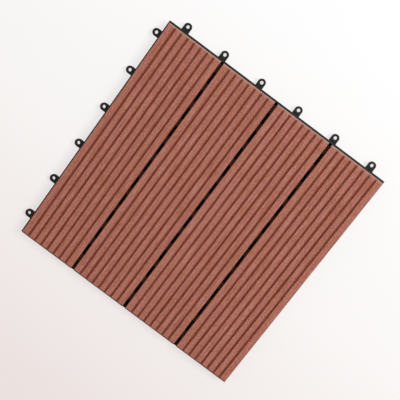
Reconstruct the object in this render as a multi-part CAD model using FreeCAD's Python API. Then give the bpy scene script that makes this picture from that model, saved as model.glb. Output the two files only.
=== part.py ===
"""Interlocking deck tile: four grooved composite slats screwed onto one moulded plastic base.

Millimetres. +Z is up and the tile lies flat. The origin is the middle of the slat field, on the ground.
The slats run along Y. The base carries loops on its -X and +Y sides. On its +X and -Y sides there is a
roofed bay for each loop of the next tile, with a peg hanging in it: this tile is lowered onto those loops.
"""

import FreeCAD
import Part
import os

# Slat field
tile_size = 300.0
slat_count = 4
slat_gap = 4.0
slat_thickness = 10.0
slat_top_round = 0.9
slat_foot_round = 0.3
end_chamfer = 2.0

# Grooves along the top of each slat
groove_count = 7
groove_width = 2.6
groove_depth = 1.5
groove_lip_round = 0.35
groove_floor_round = 0.4

# Base lattice: closed cells under flat straps
base_height = 12.0
strap_thickness = 2.0
cell_rows = 11
cell_size = 15.0
cell_wall = 1.5
cell_floor = 1.5
grid_shift = 3.0
drain_width = 3.0
drain_length = 6.0
drain_margin = 1.0

# Rim, a little proud of the slats, with a lip round the slats' feet
rim_wall = 2.0
rim_reach = 2.1
rim_slot = 3.0
lip_height = 4.0
lip_play = 0.2
lip_round = 0.5
joint_play = 0.8

# Loops, and the bays and pegs that take the loops of the next tile
loop_count = 6
loop_inset = 19.0
loop_shift = 1.3
loop_offset = 8.1
loop_width = 9.4
loop_hole = 4.0
loop_bottom = 4.6
loop_thickness = 3.8
gusset_run = 2.3
gusset_drop = 1.0
peg_play = 0.3
peg_reach = 0.6
peg_taper = 0.6
bay_side_play = 0.6
bay_head_play = 0.5
bay_roof = 1.6
bay_wall = 1.5
rib_count = 2
rib_wall = 1.5

# Screws that hold the slats down
screw_edge = 5.0
screw_shank = 3.4
screw_play = 0.05
screw_hole_play = 0.3
screw_head = 6.0
screw_head_height = 2.4
screw_head_lip = 0.9
screw_dome = 4.4
screw_head_play = 0.25
screw_cover = 1.4
screw_tip = 1.6
screw_tip_flat = 0.6
pilot_extra = 0.6
drive_width = 0.9
drive_span = 3.6
drive_depth = 1.2

# Worked out from the sizes above
half_tile = tile_size / 2
slat_width = (tile_size - (slat_count - 1) * slat_gap) / slat_count
slat_pitch = slat_width + slat_gap
groove_pitch = slat_width / (groove_count + 1)
slat_top = base_height + slat_thickness
cell_pitch = tile_size / (cell_rows + 1)
strap_width = cell_pitch - cell_size
strap_bottom = base_height - strap_thickness
gully_width = strap_width - 2 * cell_wall
near_grid = (cell_rows * cell_pitch + strap_width) / 2 - grid_shift
loop_face = half_tile + rim_reach
far_grid = loop_face - rim_wall - rim_slot
peg_face = half_tile + slat_gap - rim_reach - joint_play
loop_pitch = (tile_size - 2 * loop_inset) / (loop_count - 1)
loop_top = loop_bottom + loop_thickness
loop_centre = half_tile + loop_offset
peg_centre = half_tile + slat_gap - loop_offset
peg_radius = loop_hole / 2 - peg_play
bay_half = loop_width / 2 + bay_side_play
bay_top = loop_top + bay_head_play
pilot_top = slat_top - groove_depth - screw_cover
screw_end = pilot_top - pilot_extra

# How far a cutting solid reaches past the face that it opens
past = 1.0


def box(x0, x1, y0, y1, z0, z1):
    return Part.makeBox(x1 - x0, y1 - y0, z1 - z0, FreeCAD.Vector(x0, y0, z0))


def upright_cylinder(radius, x, y, z0, z1):
    return Part.makeCylinder(radius, z1 - z0, FreeCAD.Vector(x, y, z0))


def upright_cone(low_radius, high_radius, x, y, z0, z1):
    return Part.makeCone(low_radius, high_radius, z1 - z0, FreeCAD.Vector(x, y, z0))


def prism(points, direction):
    corners = [FreeCAD.Vector(*point) for point in points]
    wire = Part.makePolygon(corners + [corners[0]])
    return Part.Face(wire).extrude(FreeCAD.Vector(*direction))


def turned(shape, degrees):
    """A copy of the shape, turned about the tile's middle: a quarter turn takes its +Y side to -X."""
    other = shape.copy()
    other.rotate(FreeCAD.Vector(0, 0, 0), FreeCAD.Vector(0, 0, 1), degrees)
    return other


def rounded_face(corners):
    """A face in the XZ plane through (x, z, radius) corners, each rounded by its own radius."""
    edges = []
    starts = []
    ends = []
    count = len(corners)
    for i, (x, z, radius) in enumerate(corners):
        here = FreeCAD.Vector(x, 0, z)
        before = FreeCAD.Vector(corners[i - 1][0], 0, corners[i - 1][1])
        after = FreeCAD.Vector(corners[(i + 1) % count][0], 0, corners[(i + 1) % count][1])
        back = (before - here).normalize() * radius
        on = (after - here).normalize() * radius
        centre = here + back + on
        middle = centre + (here - centre).normalize() * radius
        edges.append(Part.Arc(here + back, middle, here + on).toShape())
        starts.append(here + back)
        ends.append(here + on)
    for i in range(count):
        edges.append(Part.makeLine(ends[i], starts[(i + 1) % count]))
    return Part.Face(Part.Wire(Part.__sortEdges__(edges)))


def row(count, pitch, middle):
    """The places of evenly spaced things about a middle."""
    return [middle + (i - (count - 1) / 2) * pitch for i in range(count)]


cell_x = row(cell_rows, cell_pitch, -grid_shift)
cell_y = row(cell_rows, cell_pitch, grid_shift)
strap_x = row(cell_rows + 1, cell_pitch, -grid_shift)
strap_y = row(cell_rows + 1, cell_pitch, grid_shift)
slat_x = row(slat_count, slat_pitch, 0)
rib_pitch = (loop_pitch - 2 * bay_half - 2 * bay_wall + rib_wall) / (rib_count + 1)

# Loops and pegs sit a little towards the corner where the two loop sides meet: along X on the +Y and -Y
# sides, and along Y on the -X and +X sides
x_places = row(loop_count, loop_pitch, -loop_shift)
y_places = row(loop_count, loop_pitch, loop_shift)


def screw_places(middle):
    """Four screws per slat: its outer strap lines, where they cross the second strap from either end."""
    reach = slat_width / 2 - screw_edge
    lines = [x for x in strap_x if abs(x - middle) < reach]
    rows = [strap_y[1], strap_y[-2]]
    return [(x, y) for x in (lines[0], lines[-1]) for y in rows]


all_screws = [place for middle in slat_x for place in screw_places(middle)]


def make_slat(middle):
    """One solid composite slat: grooved on top, long edges rounded, both ends chamfered."""
    left = middle - slat_width / 2
    right = middle + slat_width / 2
    floor = slat_top - groove_depth
    corners = [(left, base_height, slat_foot_round), (left, slat_top, slat_top_round)]
    for groove in row(groove_count, groove_pitch, middle):
        near = groove - groove_width / 2
        far = groove + groove_width / 2
        corners.append((near, slat_top, groove_lip_round))
        corners.append((near, floor, groove_floor_round))
        corners.append((far, floor, groove_floor_round))
        corners.append((far, slat_top, groove_lip_round))
    corners.append((right, slat_top, slat_top_round))
    corners.append((right, base_height, slat_foot_round))
    profile = rounded_face(corners)
    profile.translate(FreeCAD.Vector(0, -half_tile, 0))
    board = profile.extrude(FreeCAD.Vector(0, tile_size, 0))
    cuts = []
    for side in (-1, 1):
        tip = side * (half_tile + past)
        start = left - past
        wedge = [
            (start, tip, slat_top - end_chamfer - past),
            (start, tip, slat_top + past),
            (start, tip - side * (end_chamfer + 2 * past), slat_top + past),
        ]
        cuts.append(prism(wedge, (slat_width + 2 * past, 0, 0)))
    pilot_radius = screw_shank / 2 + screw_play
    for x, y in screw_places(middle):
        cuts.append(upright_cylinder(pilot_radius, x, y, base_height - past, pilot_top))
    return board.cut(cuts)


def slotted(x, y):
    """A drain through the floor of a cell or pocket, centred on x, y and long along Y."""
    wide = drain_width / 2
    long = drain_length / 2
    return box(x - wide, x + wide, y - long, y + long, -past, cell_floor + past)


def gullies():
    """The spaces under the straps, between the cell walls, open below.

    Those by the rim of the loop sides are wider, as their straps reach out to the slots along the rim.
    """
    half = gully_width / 2
    web = near_grid - cell_wall
    inside = loop_face - rim_wall
    far = far_grid - cell_wall
    spaces = [box(x - half, x + half, -web, inside, -past, strap_bottom) for x in strap_x[1:]]
    spaces += [box(-inside, web, y - half, y + half, -past, strap_bottom) for y in strap_y[:-1]]
    spaces.append(box(-far, strap_x[0] + half, -web, inside, -past, strap_bottom))
    spaces.append(box(-inside, web, strap_y[-1] - half, far, -past, strap_bottom))
    return spaces


def cells():
    """The hollows of the lattice, open above, with a drain in each floor, and slots along the rim."""
    half = cell_size / 2
    high = base_height + past
    inside = loop_face - rim_wall
    drain_place = drain_margin + drain_width / 2 - half
    spaces = []
    for x in cell_x:
        for y in cell_y:
            spaces.append(box(x - half, x + half, y - half, y + half, cell_floor, high))
            spaces.append(slotted(x + drain_place, y))
    spaces += [box(x - half, x + half, far_grid, inside, cell_floor, high) for x in cell_x]
    spaces += [box(-inside, -far_grid, y - half, y + half, cell_floor, high) for y in cell_y]
    return spaces


def screw_seats():
    """A hole through the strap at each screw, and room below it for the head."""
    shank = screw_shank / 2 + screw_hole_play
    head = screw_head / 2 + screw_head_play
    spaces = [upright_cylinder(shank, x, y, strap_bottom - past, base_height + past) for x, y in all_screws]
    spaces += [upright_cylinder(head, x, y, -past, strap_bottom) for x, y in all_screws]
    return spaces


def bays(places):
    """The bays of a peg side, drawn on the +Y side: open below and outward, roofed at the peg.

    The roof steps up at the rim, over the gusset of the loop, and has a hollow above the peg.
    """
    outer = peg_face - rim_wall
    step = bay_top + bay_roof
    spaces = []
    for x in places:
        left = x - bay_half
        right = x + bay_half
        spaces.append(box(left, right, near_grid, peg_face + past, -past, bay_top))
        spaces.append(box(left, right, outer, peg_face + past, -past, step))
        spaces.append(box(left, right, near_grid, outer - bay_roof, step, base_height + past))
    return spaces


def pockets(places, start, end):
    """The closed pockets between the bays of a peg side, drawn on the +Y side from start to end.

    What is left between two stops stays solid where it is no wider than a wall.
    """
    stops = [(x, bay_half + bay_wall) for x in places]
    for low, high in zip(places, places[1:]):
        stops += [(x, rib_wall / 2) for x in row(rib_count, rib_pitch, (low + high) / 2)]
    outer = peg_face - rim_wall
    high = base_height + past
    drain_place = near_grid + drain_margin + drain_width / 2
    spaces = []
    low = start
    for place, half in sorted(stops) + [(end, 0)]:
        if place - half - low > cell_wall:
            middle = (low + place - half) / 2
            spaces.append(box(low, place - half, near_grid, outer, cell_floor, high))
            drain = slotted(0, 0)
            drain.rotate(FreeCAD.Vector(0, 0, 0), FreeCAD.Vector(0, 0, 1), 90)
            drain.translate(FreeCAD.Vector(middle, drain_place, 0))
            spaces.append(drain)
        low = place + half
    return spaces


def make_peg(x):
    """A peg of a peg side, drawn on the +Y side: it hangs from its bay's roof, with a tapered tip."""
    shank = upright_cylinder(peg_radius, x, peg_centre, loop_bottom, bay_top + bay_roof)
    end = loop_bottom - peg_reach
    tip = upright_cone(peg_radius - peg_taper, peg_radius, x, peg_centre, end, loop_bottom)
    return shank.fuse(tip)


def make_lip():
    """The top of the rim, which stands up round the slats' feet."""
    top = base_height + lip_height
    outer = box(-loop_face, peg_face, -peg_face, loop_face, base_height, top)
    outer = outer.makeFillet(lip_round, [edge for edge in outer.Edges if edge.BoundBox.ZMin > base_height])
    inner = half_tile + lip_play
    return outer.cut(box(-inner, inner, -inner, inner, base_height - past, top + past))


def make_base():
    """The base but for its loops: rim, straps, closed cells, lip, and the bays and pegs of two sides."""
    inside = loop_face - rim_wall
    wall = peg_face - rim_wall
    block = box(-loop_face, peg_face, -peg_face, loop_face, 0, base_height)
    right_places = [-y for y in reversed(y_places)]
    front_places = [-x for x in reversed(x_places)]
    right_side = bays(right_places) + pockets(right_places, -inside, wall)
    front_side = bays(front_places) + pockets(front_places, -near_grid, inside)
    spaces = [turned(space, -90) for space in right_side] + [turned(space, 180) for space in front_side]
    body = block.cut(gullies()).cut(cells() + screw_seats()).cut(spaces)
    pegs = [turned(make_peg(x), -90) for x in right_places] + [turned(make_peg(x), 180) for x in front_places]
    return body.fuse(pegs + [make_lip()]).removeSplitter()


def make_loop(x):
    """A tab on the +Y side with a round end and a hole, its root stiffened by a sloping gusset."""
    half = loop_width / 2
    tab = box(x - half, x + half, loop_face, loop_centre, loop_bottom, loop_top)
    end = upright_cylinder(half, x, loop_centre, loop_bottom, loop_top)
    slope = [
        (x - half, loop_face, loop_bottom),
        (x - half, loop_face, base_height - gusset_drop),
        (x - half, loop_face + gusset_run, loop_top),
        (x - half, loop_face + gusset_run, loop_bottom),
    ]
    gusset = prism(slope, (loop_width, 0, 0))
    hole = upright_cylinder(loop_hole / 2, x, loop_centre, loop_bottom - past, loop_top + past)
    return tab.fuse([end, gusset]).cut(hole).removeSplitter()


def make_screw(x, y):
    """A pan-head screw driven up from below: cross recess, plain shank, pointed tip."""
    radius = screw_shank / 2
    head_bottom = strap_bottom - screw_head_height
    lip = head_bottom + screw_head_lip
    head = upright_cylinder(screw_head / 2, x, y, lip, strap_bottom)
    dome = upright_cone(screw_dome / 2, screw_head / 2, x, y, head_bottom, lip)
    shank = upright_cylinder(radius, x, y, strap_bottom, screw_end - screw_tip)
    tip = upright_cone(radius, screw_tip_flat / 2, x, y, screw_end - screw_tip, screw_end)
    slot = drive_width / 2
    span = drive_span / 2
    floor = head_bottom + drive_depth
    recess = [
        box(x - slot, x + slot, y - span, y + span, head_bottom - past, floor),
        box(x - span, x + span, y - slot, y + slot, head_bottom - past, floor),
    ]
    return head.fuse([dome, shank, tip]).cut(recess).removeSplitter()


parts = {}
for number, middle in enumerate(slat_x, start=1):
    parts["slat_%d" % number] = [make_slat(middle)]
parts["base_moulding"] = [make_base()]
parts["loops_back"] = [make_loop(x) for x in x_places]
parts["loops_left"] = [turned(make_loop(y), 90) for y in y_places]
parts["slat_screws"] = [make_screw(x, y) for x, y in all_screws]

os.makedirs("parts", exist_ok=True)
for name, shapes in parts.items():
    pieces = [solid for shape in shapes for solid in shape.Solids]
    whole = pieces[0] if len(pieces) == 1 else Part.Compound(pieces)
    whole.exportStep("parts/%s.step" % name)
    span = whole.BoundBox
    print(
        name,
        len(pieces),
        "valid" if whole.isValid() else "NOT VALID",
        "volume %.0f" % whole.Volume,
        "x %.2f %.2f y %.2f %.2f z %.2f %.2f"
        % (span.XMin, span.XMax, span.YMin, span.YMax, span.ZMin, span.ZMax),
    )
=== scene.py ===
"""Looks of the interlocking deck tile: brushed composite slats on a dark moulded base, seen from above."""

import math

import bmesh
import bpy
from mathutils import Euler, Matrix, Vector, noise


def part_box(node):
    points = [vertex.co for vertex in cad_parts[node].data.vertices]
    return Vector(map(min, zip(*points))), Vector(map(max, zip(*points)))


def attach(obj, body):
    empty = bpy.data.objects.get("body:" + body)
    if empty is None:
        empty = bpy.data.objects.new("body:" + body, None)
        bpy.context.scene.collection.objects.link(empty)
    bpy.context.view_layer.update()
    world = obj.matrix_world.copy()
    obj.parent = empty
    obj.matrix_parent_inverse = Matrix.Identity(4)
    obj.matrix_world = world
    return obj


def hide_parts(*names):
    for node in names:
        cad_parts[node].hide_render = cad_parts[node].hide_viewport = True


MM = 0.001

# Slat section in millimetres, the same as that of the frame's slats
GROOVE_COUNT = 7
GROOVE_WIDTH = 2.6
GROOVE_DEPTH = 1.5
GROOVE_LIP_ROUND = 0.35
GROOVE_FLOOR_ROUND = 0.4
TOP_ROUND = 0.9
FOOT_ROUND = 0.3
END_CHAMFER = 2.0

# Softened upper edge of the end chamfers, in millimetres, which is sharp on the frame's slats
CHAMFER_SOFTNESS = 0.3

# How finely a slat is drawn: millimetres a step across a ridge, steps round a corner, steps along the slat
RIDGE_STEP = 0.3
ARC_STEPS = 4
STATION_COUNT = 44

# Broad brush marks on the ridges: depth and width in millimetres, marks a millimetre along, and their share
BRUSH_DEPTH = 0.05
BRUSH_WIDTH = 1.1
BRUSH_RATE = 0.03
BROAD_SHARE = 0.6

# Fine brush marks among them: their share, how many times narrower and shorter they are, their noise layer
FINE_SHARE = 0.4
FINE_ACROSS = 3.1
FINE_ALONG = 2.3
FINE_LAYER = 7.0

# Painted shade in the grooves: where it starts, in millimetres below the top, and the share of the depth
# where it is full
GROOVE_SHADE_START = 0.2
GROOVE_SHADE_FULL = 0.75

# Half the width, in millimetres, over which the colour of the top turns into that of the cut end
END_BLEND = 0.1

# Where the base has none and all of its brown dusting and painted bounce light, in millimetres inside the
# slats' outline and below their feet
DUST_AND_BOUNCE_INSET_NONE = 0.1
DUST_AND_BOUNCE_INSET_FULL = 0.3
DUST_AND_BOUNCE_BELOW_NONE = 0.5
DUST_AND_BOUNCE_BELOW_FULL = 0.2

# Softened edges of the base, loops and screws: their width in millimetres, and steps round an edge
BASE_EDGE = 0.25
LOOP_EDGE = 0.45
SCREW_EDGE = 0.12
EDGE_SEGMENTS = 2

# Mesh clean-up and shading, in metres and radians
WELD_DISTANCE = 0.001 * MM
FLAT_ANGLE = math.radians(1)
EDGE_ANGLE = math.radians(40)
SMOOTH_ANGLE = math.radians(32)

# Camera, in millimetres and degrees
CAMERA_PLACE = (-10.3, 162.8, 897.0)
CAMERA_TURN = (-8.669, 5.068, 36.519)
CAMERA_LENS = 69.401
CAMERA_SENSOR = 36.0
CAMERA_SHIFT = (-0.018, 0.015)

# Ground, in metres, just below the tile's foot, with its colours from front to back along Y
FLOOR_SIZE = 80.0
FLOOR_DROP = 0.02 * MM
FLOOR_FRONT = (0.86, 0.78, 0.765, 1)
FLOOR_MIDDLE = (0.95, 0.925, 0.915, 1)
FLOOR_BACK = (0.99, 0.985, 0.985, 1)
FLOOR_FRONT_Y = -0.32
FLOOR_MIDDLE_Y = -0.02
FLOOR_BACK_Y = 0.26

# How far from the tile the ground turns white, in metres, and how much it glows near the tile
FLOOR_NEAR = 0.35
FLOOR_FAR = 1.0
FLOOR_GLOW = 0.78

# Sky light: the side it is strongest from, its strength there and opposite, and how white it is seen
SKY_SIDE = (-0.40, 0.92, 0.0)
SKY_HIGH = 0.60
SKY_LOW = 0.20
SKY_SHOWN = 0.98

# Key light, in metres and watts
KEY_PLACE = (0.95, 0.95, 1.9)
KEY_SIZE = 0.9
KEY_POWER = 39.0


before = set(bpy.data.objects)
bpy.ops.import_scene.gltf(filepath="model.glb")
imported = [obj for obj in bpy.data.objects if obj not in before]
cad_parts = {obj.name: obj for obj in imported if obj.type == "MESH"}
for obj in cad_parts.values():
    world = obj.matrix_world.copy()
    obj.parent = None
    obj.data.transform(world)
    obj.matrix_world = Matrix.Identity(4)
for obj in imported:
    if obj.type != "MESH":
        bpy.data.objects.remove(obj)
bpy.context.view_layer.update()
scene = bpy.context.scene
scene.view_settings.view_transform = "Standard"


# Node helpers


def feed(value, socket):
    """Links another node's output to a socket, or sets the socket to a plain value."""
    if isinstance(value, bpy.types.NodeSocket):
        socket.id_data.links.new(value, socket)
    else:
        socket.default_value = value


def node_adder(tree):
    """A function that adds a node to a tree, with its settings, and feeds its inputs by their names."""

    def add(kind, settings=None, **inputs):
        node = tree.nodes.new(kind)
        for key, value in (settings or {}).items():
            setattr(node, key, value)
        for key, value in inputs.items():
            feed(value, node.inputs[key.replace("_", " ")])
        return node

    return add


def new_material(name):
    """A node material, its shader, and the function that adds its nodes."""
    material = bpy.data.materials.new(name)
    material.use_nodes = True
    return material, material.node_tree.nodes["Principled BSDF"], node_adder(material.node_tree)


def object_place(add):
    """Object coordinates, in metres."""
    return add("ShaderNodeTexCoord").outputs["Object"]


def object_axes(add):
    """Object coordinates as separate X, Y and Z values."""
    return add("ShaderNodeSeparateXYZ", Vector=object_place(add)).outputs


def noise_of(add, cells, detail, roughness=0.55):
    """A noise value from 0 to 1, with so many cells in a metre along X, Y and Z."""
    place = add("ShaderNodeMapping", Vector=object_place(add), Scale=cells).outputs["Vector"]
    node = add("ShaderNodeTexNoise", Vector=place, Scale=1.0, Detail=detail, Roughness=roughness)
    return node.outputs["Fac"]


def spread(add, value, low, high, to_low=0.0, to_high=1.0):
    """The value between low and high, spread to to_low and to_high."""
    node = add("ShaderNodeMapRange", Value=value)
    feed(low, node.inputs["From Min"])
    feed(high, node.inputs["From Max"])
    feed(to_low, node.inputs["To Min"])
    feed(to_high, node.inputs["To Max"])
    return node.outputs["Result"]


def mixed(add, share, first, second, blend="MIX"):
    """Two colours mixed by a share. The node takes them as inputs 6 and 7, and gives output 2."""
    node = add("ShaderNodeMix", {"data_type": "RGBA", "blend_type": blend})
    feed(share, node.inputs[0])
    feed(first, node.inputs[6])
    feed(second, node.inputs[7])
    return node.outputs[2]


def tinted(add, tone, tint):
    """A colour multiplied by another."""
    return mixed(add, 1.0, tone, tint, "MULTIPLY")


def math_of(add, operation, first, second=0.0):
    """One step of arithmetic on one or two values."""
    node = add("ShaderNodeMath", {"operation": operation})
    feed(first, node.inputs[0])
    feed(second, node.inputs[1])
    return node.outputs[0]


def shaders_mixed(add, share, first, second):
    """Two shaders mixed by a share."""
    node = add("ShaderNodeMixShader", Fac=share)
    feed(first, node.inputs[1])
    feed(second, node.inputs[2])
    return node.outputs["Shader"]


def give_bumps(add, shader, height, strength, depth):
    """Gives a shader bumps from a height value, with their depth in millimetres."""
    bump = add("ShaderNodeBump", Strength=strength, Distance=depth * MM, Height=height)
    feed(bump.outputs["Normal"], shader.inputs["Normal"])


def shown_share(add):
    """1 where a camera, a shiny face or clear material looks, and 0 where light falls."""
    path = add("ShaderNodeLightPath").outputs
    share = math_of(add, "MAXIMUM", path["Is Camera Ray"], path["Is Glossy Ray"])
    return math_of(add, "MAXIMUM", share, path["Is Transmission Ray"])


# Materials


def fibre_tone(add, streak, fleck):
    """Mottled brown with pale and dark fibres and flecks, a fine grain, and slow bands along the slat."""
    pink = (0.406, 0.143, 0.109, 1)
    brown = (0.365, 0.124, 0.074, 1)
    fibre_pale = (0.56, 0.30, 0.22, 1)
    fibre_dark = (0.20, 0.048, 0.032, 1)
    grain_pale = (1.21, 1.36, 1.42, 1)
    grain_dark = (0.80, 0.67, 0.61, 1)
    band_pale = (1.04, 1.06, 1.07, 1)
    band_dark = (0.95, 0.91, 0.90, 1)

    mottle = noise_of(add, cells=(420, 34, 420), detail=2.0)
    grain = noise_of(add, cells=(1150, 480, 1150), detail=2.0)
    band = noise_of(add, cells=(120, 2.5, 120), detail=1.0)
    tone = mixed(add, spread(add, mottle, low=0.38, high=0.62), pink, brown)
    tone = mixed(add, spread(add, streak, low=0.52, high=0.80, to_high=0.8), tone, fibre_pale)
    tone = mixed(add, spread(add, streak, low=0.48, high=0.22, to_high=0.8), tone, fibre_dark)
    tone = mixed(add, spread(add, fleck, low=0.66, high=0.74, to_high=0.5), tone, fibre_pale)
    tone = mixed(add, spread(add, fleck, low=0.34, high=0.26, to_high=0.45), tone, fibre_dark)
    tone = tinted(add, tone, mixed(add, spread(add, grain, low=0.33, high=0.67), grain_dark, grain_pale))
    return tinted(add, tone, mixed(add, spread(add, band, low=0.3, high=0.7), band_dark, band_pale))


def cut_end_tone_and_shade(add, along):
    """Plain sawn composite on the ends towards +Y, with painted shade on those towards -Y, which are much
    darker.
    """
    back_tone = (0.38, 0.190, 0.150, 1)
    # Painted shade: the ends towards -Y get a much darker tone, as if turned from the light
    front_shade_tone = (0.17, 0.070, 0.050, 1)
    back = spread(add, along, low=-MM, high=MM)
    grain = noise_of(add, cells=(900, 900, 500), detail=4.0)
    grain = spread(add, grain, low=0.35, high=0.65, to_low=0.84, to_high=1.12)
    return tinted(add, mixed(add, back, front_shade_tone, back_tone), grain)


def composite_material():
    """Brushed wood-plastic composite: fibres along the slat, painted shade in the grooves, and plain cut
    ends, those towards -Y with painted shade.
    """
    material, shader, add = new_material("brushed_composite")
    axes = object_axes(add)
    slat_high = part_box("slat_1")[1]
    streak = noise_of(add, cells=(1500, 28, 1500), detail=4.0, roughness=0.6)
    fleck = noise_of(add, cells=(2600, 700, 2600), detail=1.0)
    tone = fibre_tone(add, streak, fleck)

    # Painted shade in the grooves: their lower part is darkened and reddened, as by the shade and the light
    # bounced between their walls
    groove_shade_tint = (0.52, 0.32, 0.24, 1)
    groove_full = slat_high.z - GROOVE_DEPTH * MM * GROOVE_SHADE_FULL
    groove_start = slat_high.z - GROOVE_SHADE_START * MM
    groove_shade_share = spread(add, axes["Z"], groove_full, groove_start, to_low=1.0, to_high=0.0)
    tone = mixed(add, groove_shade_share, tone, tinted(add, tone, groove_shade_tint))

    reach = math_of(add, "ABSOLUTE", axes["Y"])
    end_start = slat_high.y - (END_CHAMFER + END_BLEND) * MM
    end_full = slat_high.y - (END_CHAMFER - END_BLEND) * MM
    at_end = spread(add, reach, end_start, end_full)
    feed(mixed(add, at_end, tone, cut_end_tone_and_shade(add, axes["Y"])), shader.inputs["Base Color"])

    roughness = spread(add, streak, low=0.25, high=0.75, to_low=0.86, to_high=0.68)
    feed(roughness, shader.inputs["Roughness"])
    fleck_height = math_of(add, "MULTIPLY", fleck, 0.4)
    give_bumps(add, shader, math_of(add, "ADD", streak, fleck_height), strength=0.55, depth=0.12)
    shader.inputs["Specular IOR Level"].default_value = 0.25
    return material


def dust_and_bounce_share(add, flow):
    """How brown the base is: a patchy brown dusting and painted reddish bounce light on what lies at the
    slats' feet, inside their outline.
    """
    axes = object_axes(add)
    slat_low, slat_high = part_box("slat_1")
    across = math_of(add, "ABSOLUTE", axes["X"])
    along = math_of(add, "ABSOLUTE", axes["Y"])
    reach = math_of(add, "MAXIMUM", across, along)
    edge_full = slat_high.y - DUST_AND_BOUNCE_INSET_FULL * MM
    edge_none = slat_high.y - DUST_AND_BOUNCE_INSET_NONE * MM
    inside = spread(add, reach, edge_full, edge_none, to_low=1.0, to_high=0.0)
    level_none = slat_low.z - DUST_AND_BOUNCE_BELOW_NONE * MM
    level_full = slat_low.z - DUST_AND_BOUNCE_BELOW_FULL * MM
    upper = spread(add, axes["Z"], level_none, level_full)
    patchy = spread(add, flow, low=0.2, high=0.8, to_low=0.5)
    return math_of(add, "MULTIPLY", math_of(add, "MULTIPLY", inside, upper), patchy)


def moulded_material():
    """Near-black polypropylene with a fine sparked grain, faint flow marks, and under the slats a brown
    dusting with painted reddish bounce light.
    """
    material, shader, add = new_material("moulded_plastic")
    dark = (0.005, 0.006, 0.005, 1)
    light = (0.013, 0.0145, 0.012, 1)
    # Brown dusting, partly painted light: it stands for reddish light bounced off the slats' sides onto the
    # base between them
    dust_and_bounce_light = (0.165, 0.068, 0.030, 1)
    grain = noise_of(add, cells=(2600, 2600, 2600), detail=2.0)
    flow = noise_of(add, cells=(70, 70, 240), detail=3.0)
    grain_part = math_of(add, "MULTIPLY", grain, 0.45)
    flow_part = math_of(add, "MULTIPLY", flow, 0.55)
    cloud = math_of(add, "ADD", grain_part, flow_part)
    tone = mixed(add, spread(add, cloud, low=0.35, high=0.65), dark, light)
    feed(mixed(add, dust_and_bounce_share(add, flow), tone, dust_and_bounce_light), shader.inputs["Base Color"])
    roughness = spread(add, flow, low=0.3, high=0.7, to_low=0.46, to_high=0.60)
    feed(roughness, shader.inputs["Roughness"])
    give_bumps(add, shader, grain, strength=0.35, depth=0.05)
    shader.inputs["Specular IOR Level"].default_value = 0.2
    return material


def zinc_material():
    """Zinc-plated steel with faint turning marks and cloudy plating."""
    material, shader, add = new_material("zinc_steel")
    dull = (0.50, 0.50, 0.48, 1)
    bright = (0.70, 0.70, 0.69, 1)
    cloud = noise_of(add, cells=(700, 700, 700), detail=4.0)
    rings = noise_of(add, cells=(300, 300, 9000), detail=2.0)
    tone = mixed(add, spread(add, cloud, low=0.35, high=0.65), dull, bright)
    feed(tone, shader.inputs["Base Color"])
    roughness = spread(add, cloud, low=0.3, high=0.7, to_low=0.28, to_high=0.46)
    feed(roughness, shader.inputs["Roughness"])
    give_bumps(add, shader, rings, strength=0.2, depth=0.03)
    shader.inputs["Metallic"].default_value = 1.0
    return material


def floor_material():
    """Plain pale ground, warmer towards -Y and white far away, which glows where it is seen.

    It can't be seen from below, where the tile's underside shows instead.
    """
    material, shader, add = new_material("pale_ground")
    place = object_place(add)
    along = add("ShaderNodeSeparateXYZ", Vector=place).outputs["Y"]
    distance = add("ShaderNodeVectorMath", {"operation": "LENGTH"}, Vector=place).outputs["Value"]
    away = spread(add, distance, FLOOR_NEAR, FLOOR_FAR)
    tone = mixed(add, spread(add, along, FLOOR_FRONT_Y, FLOOR_MIDDLE_Y), FLOOR_FRONT, FLOOR_MIDDLE)
    tone = mixed(add, spread(add, along, FLOOR_MIDDLE_Y, FLOOR_BACK_Y), tone, FLOOR_BACK)
    tone = mixed(add, away, tone, FLOOR_BACK)
    feed(tone, shader.inputs["Base Color"])
    shader.inputs["Roughness"].default_value = 0.9
    shader.inputs["Specular IOR Level"].default_value = 0.1

    glow = add("ShaderNodeEmission", Color=tone).outputs["Emission"]
    glow_share = spread(add, away, low=0.0, high=1.0, to_low=FLOOR_GLOW)
    share = math_of(add, "MULTIPLY", shown_share(add), glow_share)
    ground = shaders_mixed(add, share, shader.outputs["BSDF"], glow)
    below = add("ShaderNodeNewGeometry").outputs["Backfacing"]
    clear = add("ShaderNodeBsdfTransparent").outputs["BSDF"]
    output = material.node_tree.nodes["Material Output"]
    feed(shaders_mixed(add, below, ground, clear), output.inputs["Surface"])
    return material


def soft_sky():
    """Sky light that is stronger from one side, and shows as plain white."""
    sky = bpy.data.worlds.new("soft_sky")
    sky.use_nodes = True
    add = node_adder(sky.node_tree)
    facing = add("ShaderNodeVectorMath", {"operation": "DOT_PRODUCT"})
    feed(add("ShaderNodeTexCoord").outputs["Generated"], facing.inputs[0])
    feed(SKY_SIDE, facing.inputs[1])
    light = spread(add, facing.outputs["Value"], low=-1.0, high=1.0, to_low=SKY_LOW, to_high=SKY_HIGH)
    shown = math_of(add, "MULTIPLY", shown_share(add), SKY_SHOWN)
    background = sky.node_tree.nodes["Background"]
    background.inputs["Color"].default_value = (1.0, 1.0, 1.0, 1.0)
    feed(math_of(add, "MAXIMUM", light, shown), background.inputs["Strength"])
    return sky


# Slats


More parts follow.
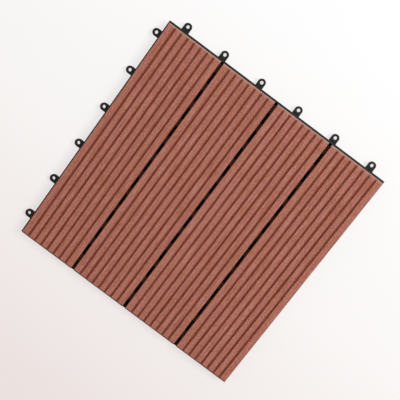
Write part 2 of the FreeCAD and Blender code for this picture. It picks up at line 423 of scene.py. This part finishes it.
def rounded(corners):
    """The points of a closed outline of (x, z, radius, brushed) corners, each a rounded right angle.

    A brushed corner also gets points along the ridge that follows it. They end in 1, which takes brush
    marks, and the other points end in 0.
    """
    points = []
    for i, (x, z, radius, brushed) in enumerate(corners):
        here = Vector((x, z))
        following = corners[(i + 1) % len(corners)]
        back = (Vector(corners[i - 1][:2]) - here).normalized()
        on = (Vector(following[:2]) - here).normalized()
        centre = here + (back + on) * radius
        for step in range(ARC_STEPS + 1):
            turn = math.pi / 2 * step / ARC_STEPS
            point = centre - back * radius * math.sin(turn) - on * radius * math.cos(turn)
            points.append((point.x, point.y, 0.0))
        if brushed:
            start = here + on * radius
            end = Vector(following[:2]) - on * following[2]
            steps = max(int((end - start).length / RIDGE_STEP), 1)
            for step in range(1, steps):
                point = start.lerp(end, step / steps)
                points.append((point.x, point.y, 1.0))
    return points


def slat_outline(left, right, foot, top):
    """Outline of a slat's section, clockwise from its lower left corner when seen along +Y."""
    middle = (left + right) / 2
    pitch = (right - left) / (GROOVE_COUNT + 1)
    floor = top - GROOVE_DEPTH
    corners = [(left, foot, FOOT_ROUND, False), (left, top, TOP_ROUND, True)]
    for i in range(GROOVE_COUNT):
        groove = middle + (i - (GROOVE_COUNT - 1) / 2) * pitch
        near = groove - GROOVE_WIDTH / 2
        far = groove + GROOVE_WIDTH / 2
        corners.append((near, top, GROOVE_LIP_ROUND, False))
        corners.append((near, floor, GROOVE_FLOOR_ROUND, False))
        corners.append((far, floor, GROOVE_FLOOR_ROUND, False))
        corners.append((far, top, GROOVE_LIP_ROUND, True))
    corners.append((right, top, TOP_ROUND, False))
    corners.append((right, foot, FOOT_ROUND, False))
    return rounded(corners)


def stations(half):
    """Places along a slat: even over its length, and closer together at the end chamfers."""
    chamfer_start = half - END_CHAMFER
    near = [chamfer_start + step * CHAMFER_SOFTNESS for step in range(-2, 3)]
    near += [half - (END_CHAMFER - GROOVE_DEPTH), half]
    inner = near[0]
    even = [-inner + 2 * inner * i / STATION_COUNT for i in range(1, STATION_COUNT)]
    return [-y for y in reversed(near)] + even + near


def chamfer_drop(y, half):
    """How far the end chamfers lower a slat's top, with their upper edge softened."""
    past = abs(y) - (half - END_CHAMFER)
    if abs(y) > half - GROOVE_DEPTH / 2:
        return past
    return (past + math.hypot(past, CHAMFER_SOFTNESS)) / 2


def brush_mark(x, y):
    """How deep the brushing is at a point of a ridge, from 0 to 1, by noise that goes from -1 to 1."""
    across = x / BRUSH_WIDTH
    along = y * BRUSH_RATE
    mark = noise.noise(Vector((across, along, 0.0))) * BROAD_SHARE
    mark += noise.noise(Vector((across * FINE_ACROSS, along * FINE_ALONG, FINE_LAYER))) * FINE_SHARE
    return 0.5 + 0.5 * mark


def mesh_piece(name, mesh, material):
    """A shown object from a finished bmesh, smooth but for its sharp edges."""
    data = bpy.data.meshes.new(name)
    mesh.to_mesh(data)
    mesh.free()
    for face in data.polygons:
        face.use_smooth = True
    data.set_sharp_from_angle(angle=SMOOTH_ANGLE)
    data.materials.append(material)
    piece = bpy.data.objects.new(name, data)
    scene.collection.objects.link(piece)
    return piece


def make_slat(node, material):
    """A brushed slat of the frame's section, with soft chamfer edges and fine brush marks along its top."""
    low, high = (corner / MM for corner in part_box(node))
    outline = slat_outline(low.x, high.x, low.z, high.z)
    count = len(outline)
    mesh = bmesh.new()
    rings = []
    for y in stations(high.y):
        ceiling = high.z - chamfer_drop(y, high.y)
        ring = []
        for x, z, brushed in outline:
            height = min(z - brushed * BRUSH_DEPTH * brush_mark(x, y), ceiling)
            ring.append(mesh.verts.new((x * MM, y * MM, height * MM)))
        rings.append(ring)
    for first, second in zip(rings, rings[1:]):
        for i in range(count):
            j = (i + 1) % count
            mesh.faces.new((first[i], first[j], second[j], second[i]))
    mesh.faces.new(reversed(rings[0]))
    mesh.faces.new(rings[-1])
    bmesh.ops.remove_doubles(mesh, verts=mesh.verts, dist=WELD_DISTANCE)
    bmesh.ops.dissolve_degenerate(mesh, edges=mesh.edges, dist=WELD_DISTANCE)
    bmesh.ops.recalc_face_normals(mesh, faces=mesh.faces)
    return mesh_piece("brushed_" + node, mesh, material)


# Base, loops and screws, which keep the frame's own meshes


def finish_node(node, material, edge):
    """Gives a node of the frame its material and softly rounded edges."""
    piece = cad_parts[node]
    piece.data.materials.clear()
    piece.data.materials.append(material)
    weld = piece.modifiers.new("weld", "WELD")
    weld.merge_threshold = WELD_DISTANCE
    flat = piece.modifiers.new("flat", "DECIMATE")
    flat.decimate_type = "DISSOLVE"
    flat.angle_limit = FLAT_ANGLE
    bevel = piece.modifiers.new("edge", "BEVEL")
    bevel.width = edge * MM
    bevel.segments = EDGE_SEGMENTS
    bevel.limit_method = "ANGLE"
    bevel.angle_limit = EDGE_ANGLE
    bevel.harden_normals = True
    return piece


# The pieces

composite = composite_material()
moulded = moulded_material()
zinc = zinc_material()

for node in ("slat_1", "slat_2", "slat_3", "slat_4"):
    slat = make_slat(node, composite)
    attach(slat, "root")
    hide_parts(node)

for node, edge in (("base_moulding", BASE_EDGE), ("loops_back", LOOP_EDGE), ("loops_left", LOOP_EDGE)):
    finish_node(node, moulded, edge)
finish_node("slat_screws", zinc, SCREW_EDGE)

# Stage, light and camera

bpy.ops.mesh.primitive_plane_add(size=FLOOR_SIZE, location=(0, 0, -FLOOR_DROP))
floor = bpy.context.object
floor.name = "ground"
floor.data.materials.append(floor_material())

scene.world = soft_sky()

key = bpy.data.objects.new("key_light", bpy.data.lights.new("key_light", "AREA"))
key.data.shape = "DISK"
key.data.size = KEY_SIZE
key.data.energy = KEY_POWER
key.location = KEY_PLACE
key.rotation_euler = (-Vector(KEY_PLACE)).to_track_quat("-Z", "Y").to_euler()
scene.collection.objects.link(key)

camera = bpy.data.objects.new("camera", bpy.data.cameras.new("camera"))
camera.location = Vector(CAMERA_PLACE) * MM
camera.rotation_euler = Euler([math.radians(turn) for turn in CAMERA_TURN], "XYZ")
camera.data.sensor_width = CAMERA_SENSOR
camera.data.lens = CAMERA_LENS
camera.data.shift_x, camera.data.shift_y = CAMERA_SHIFT
scene.collection.objects.link(camera)
scene.camera = camera
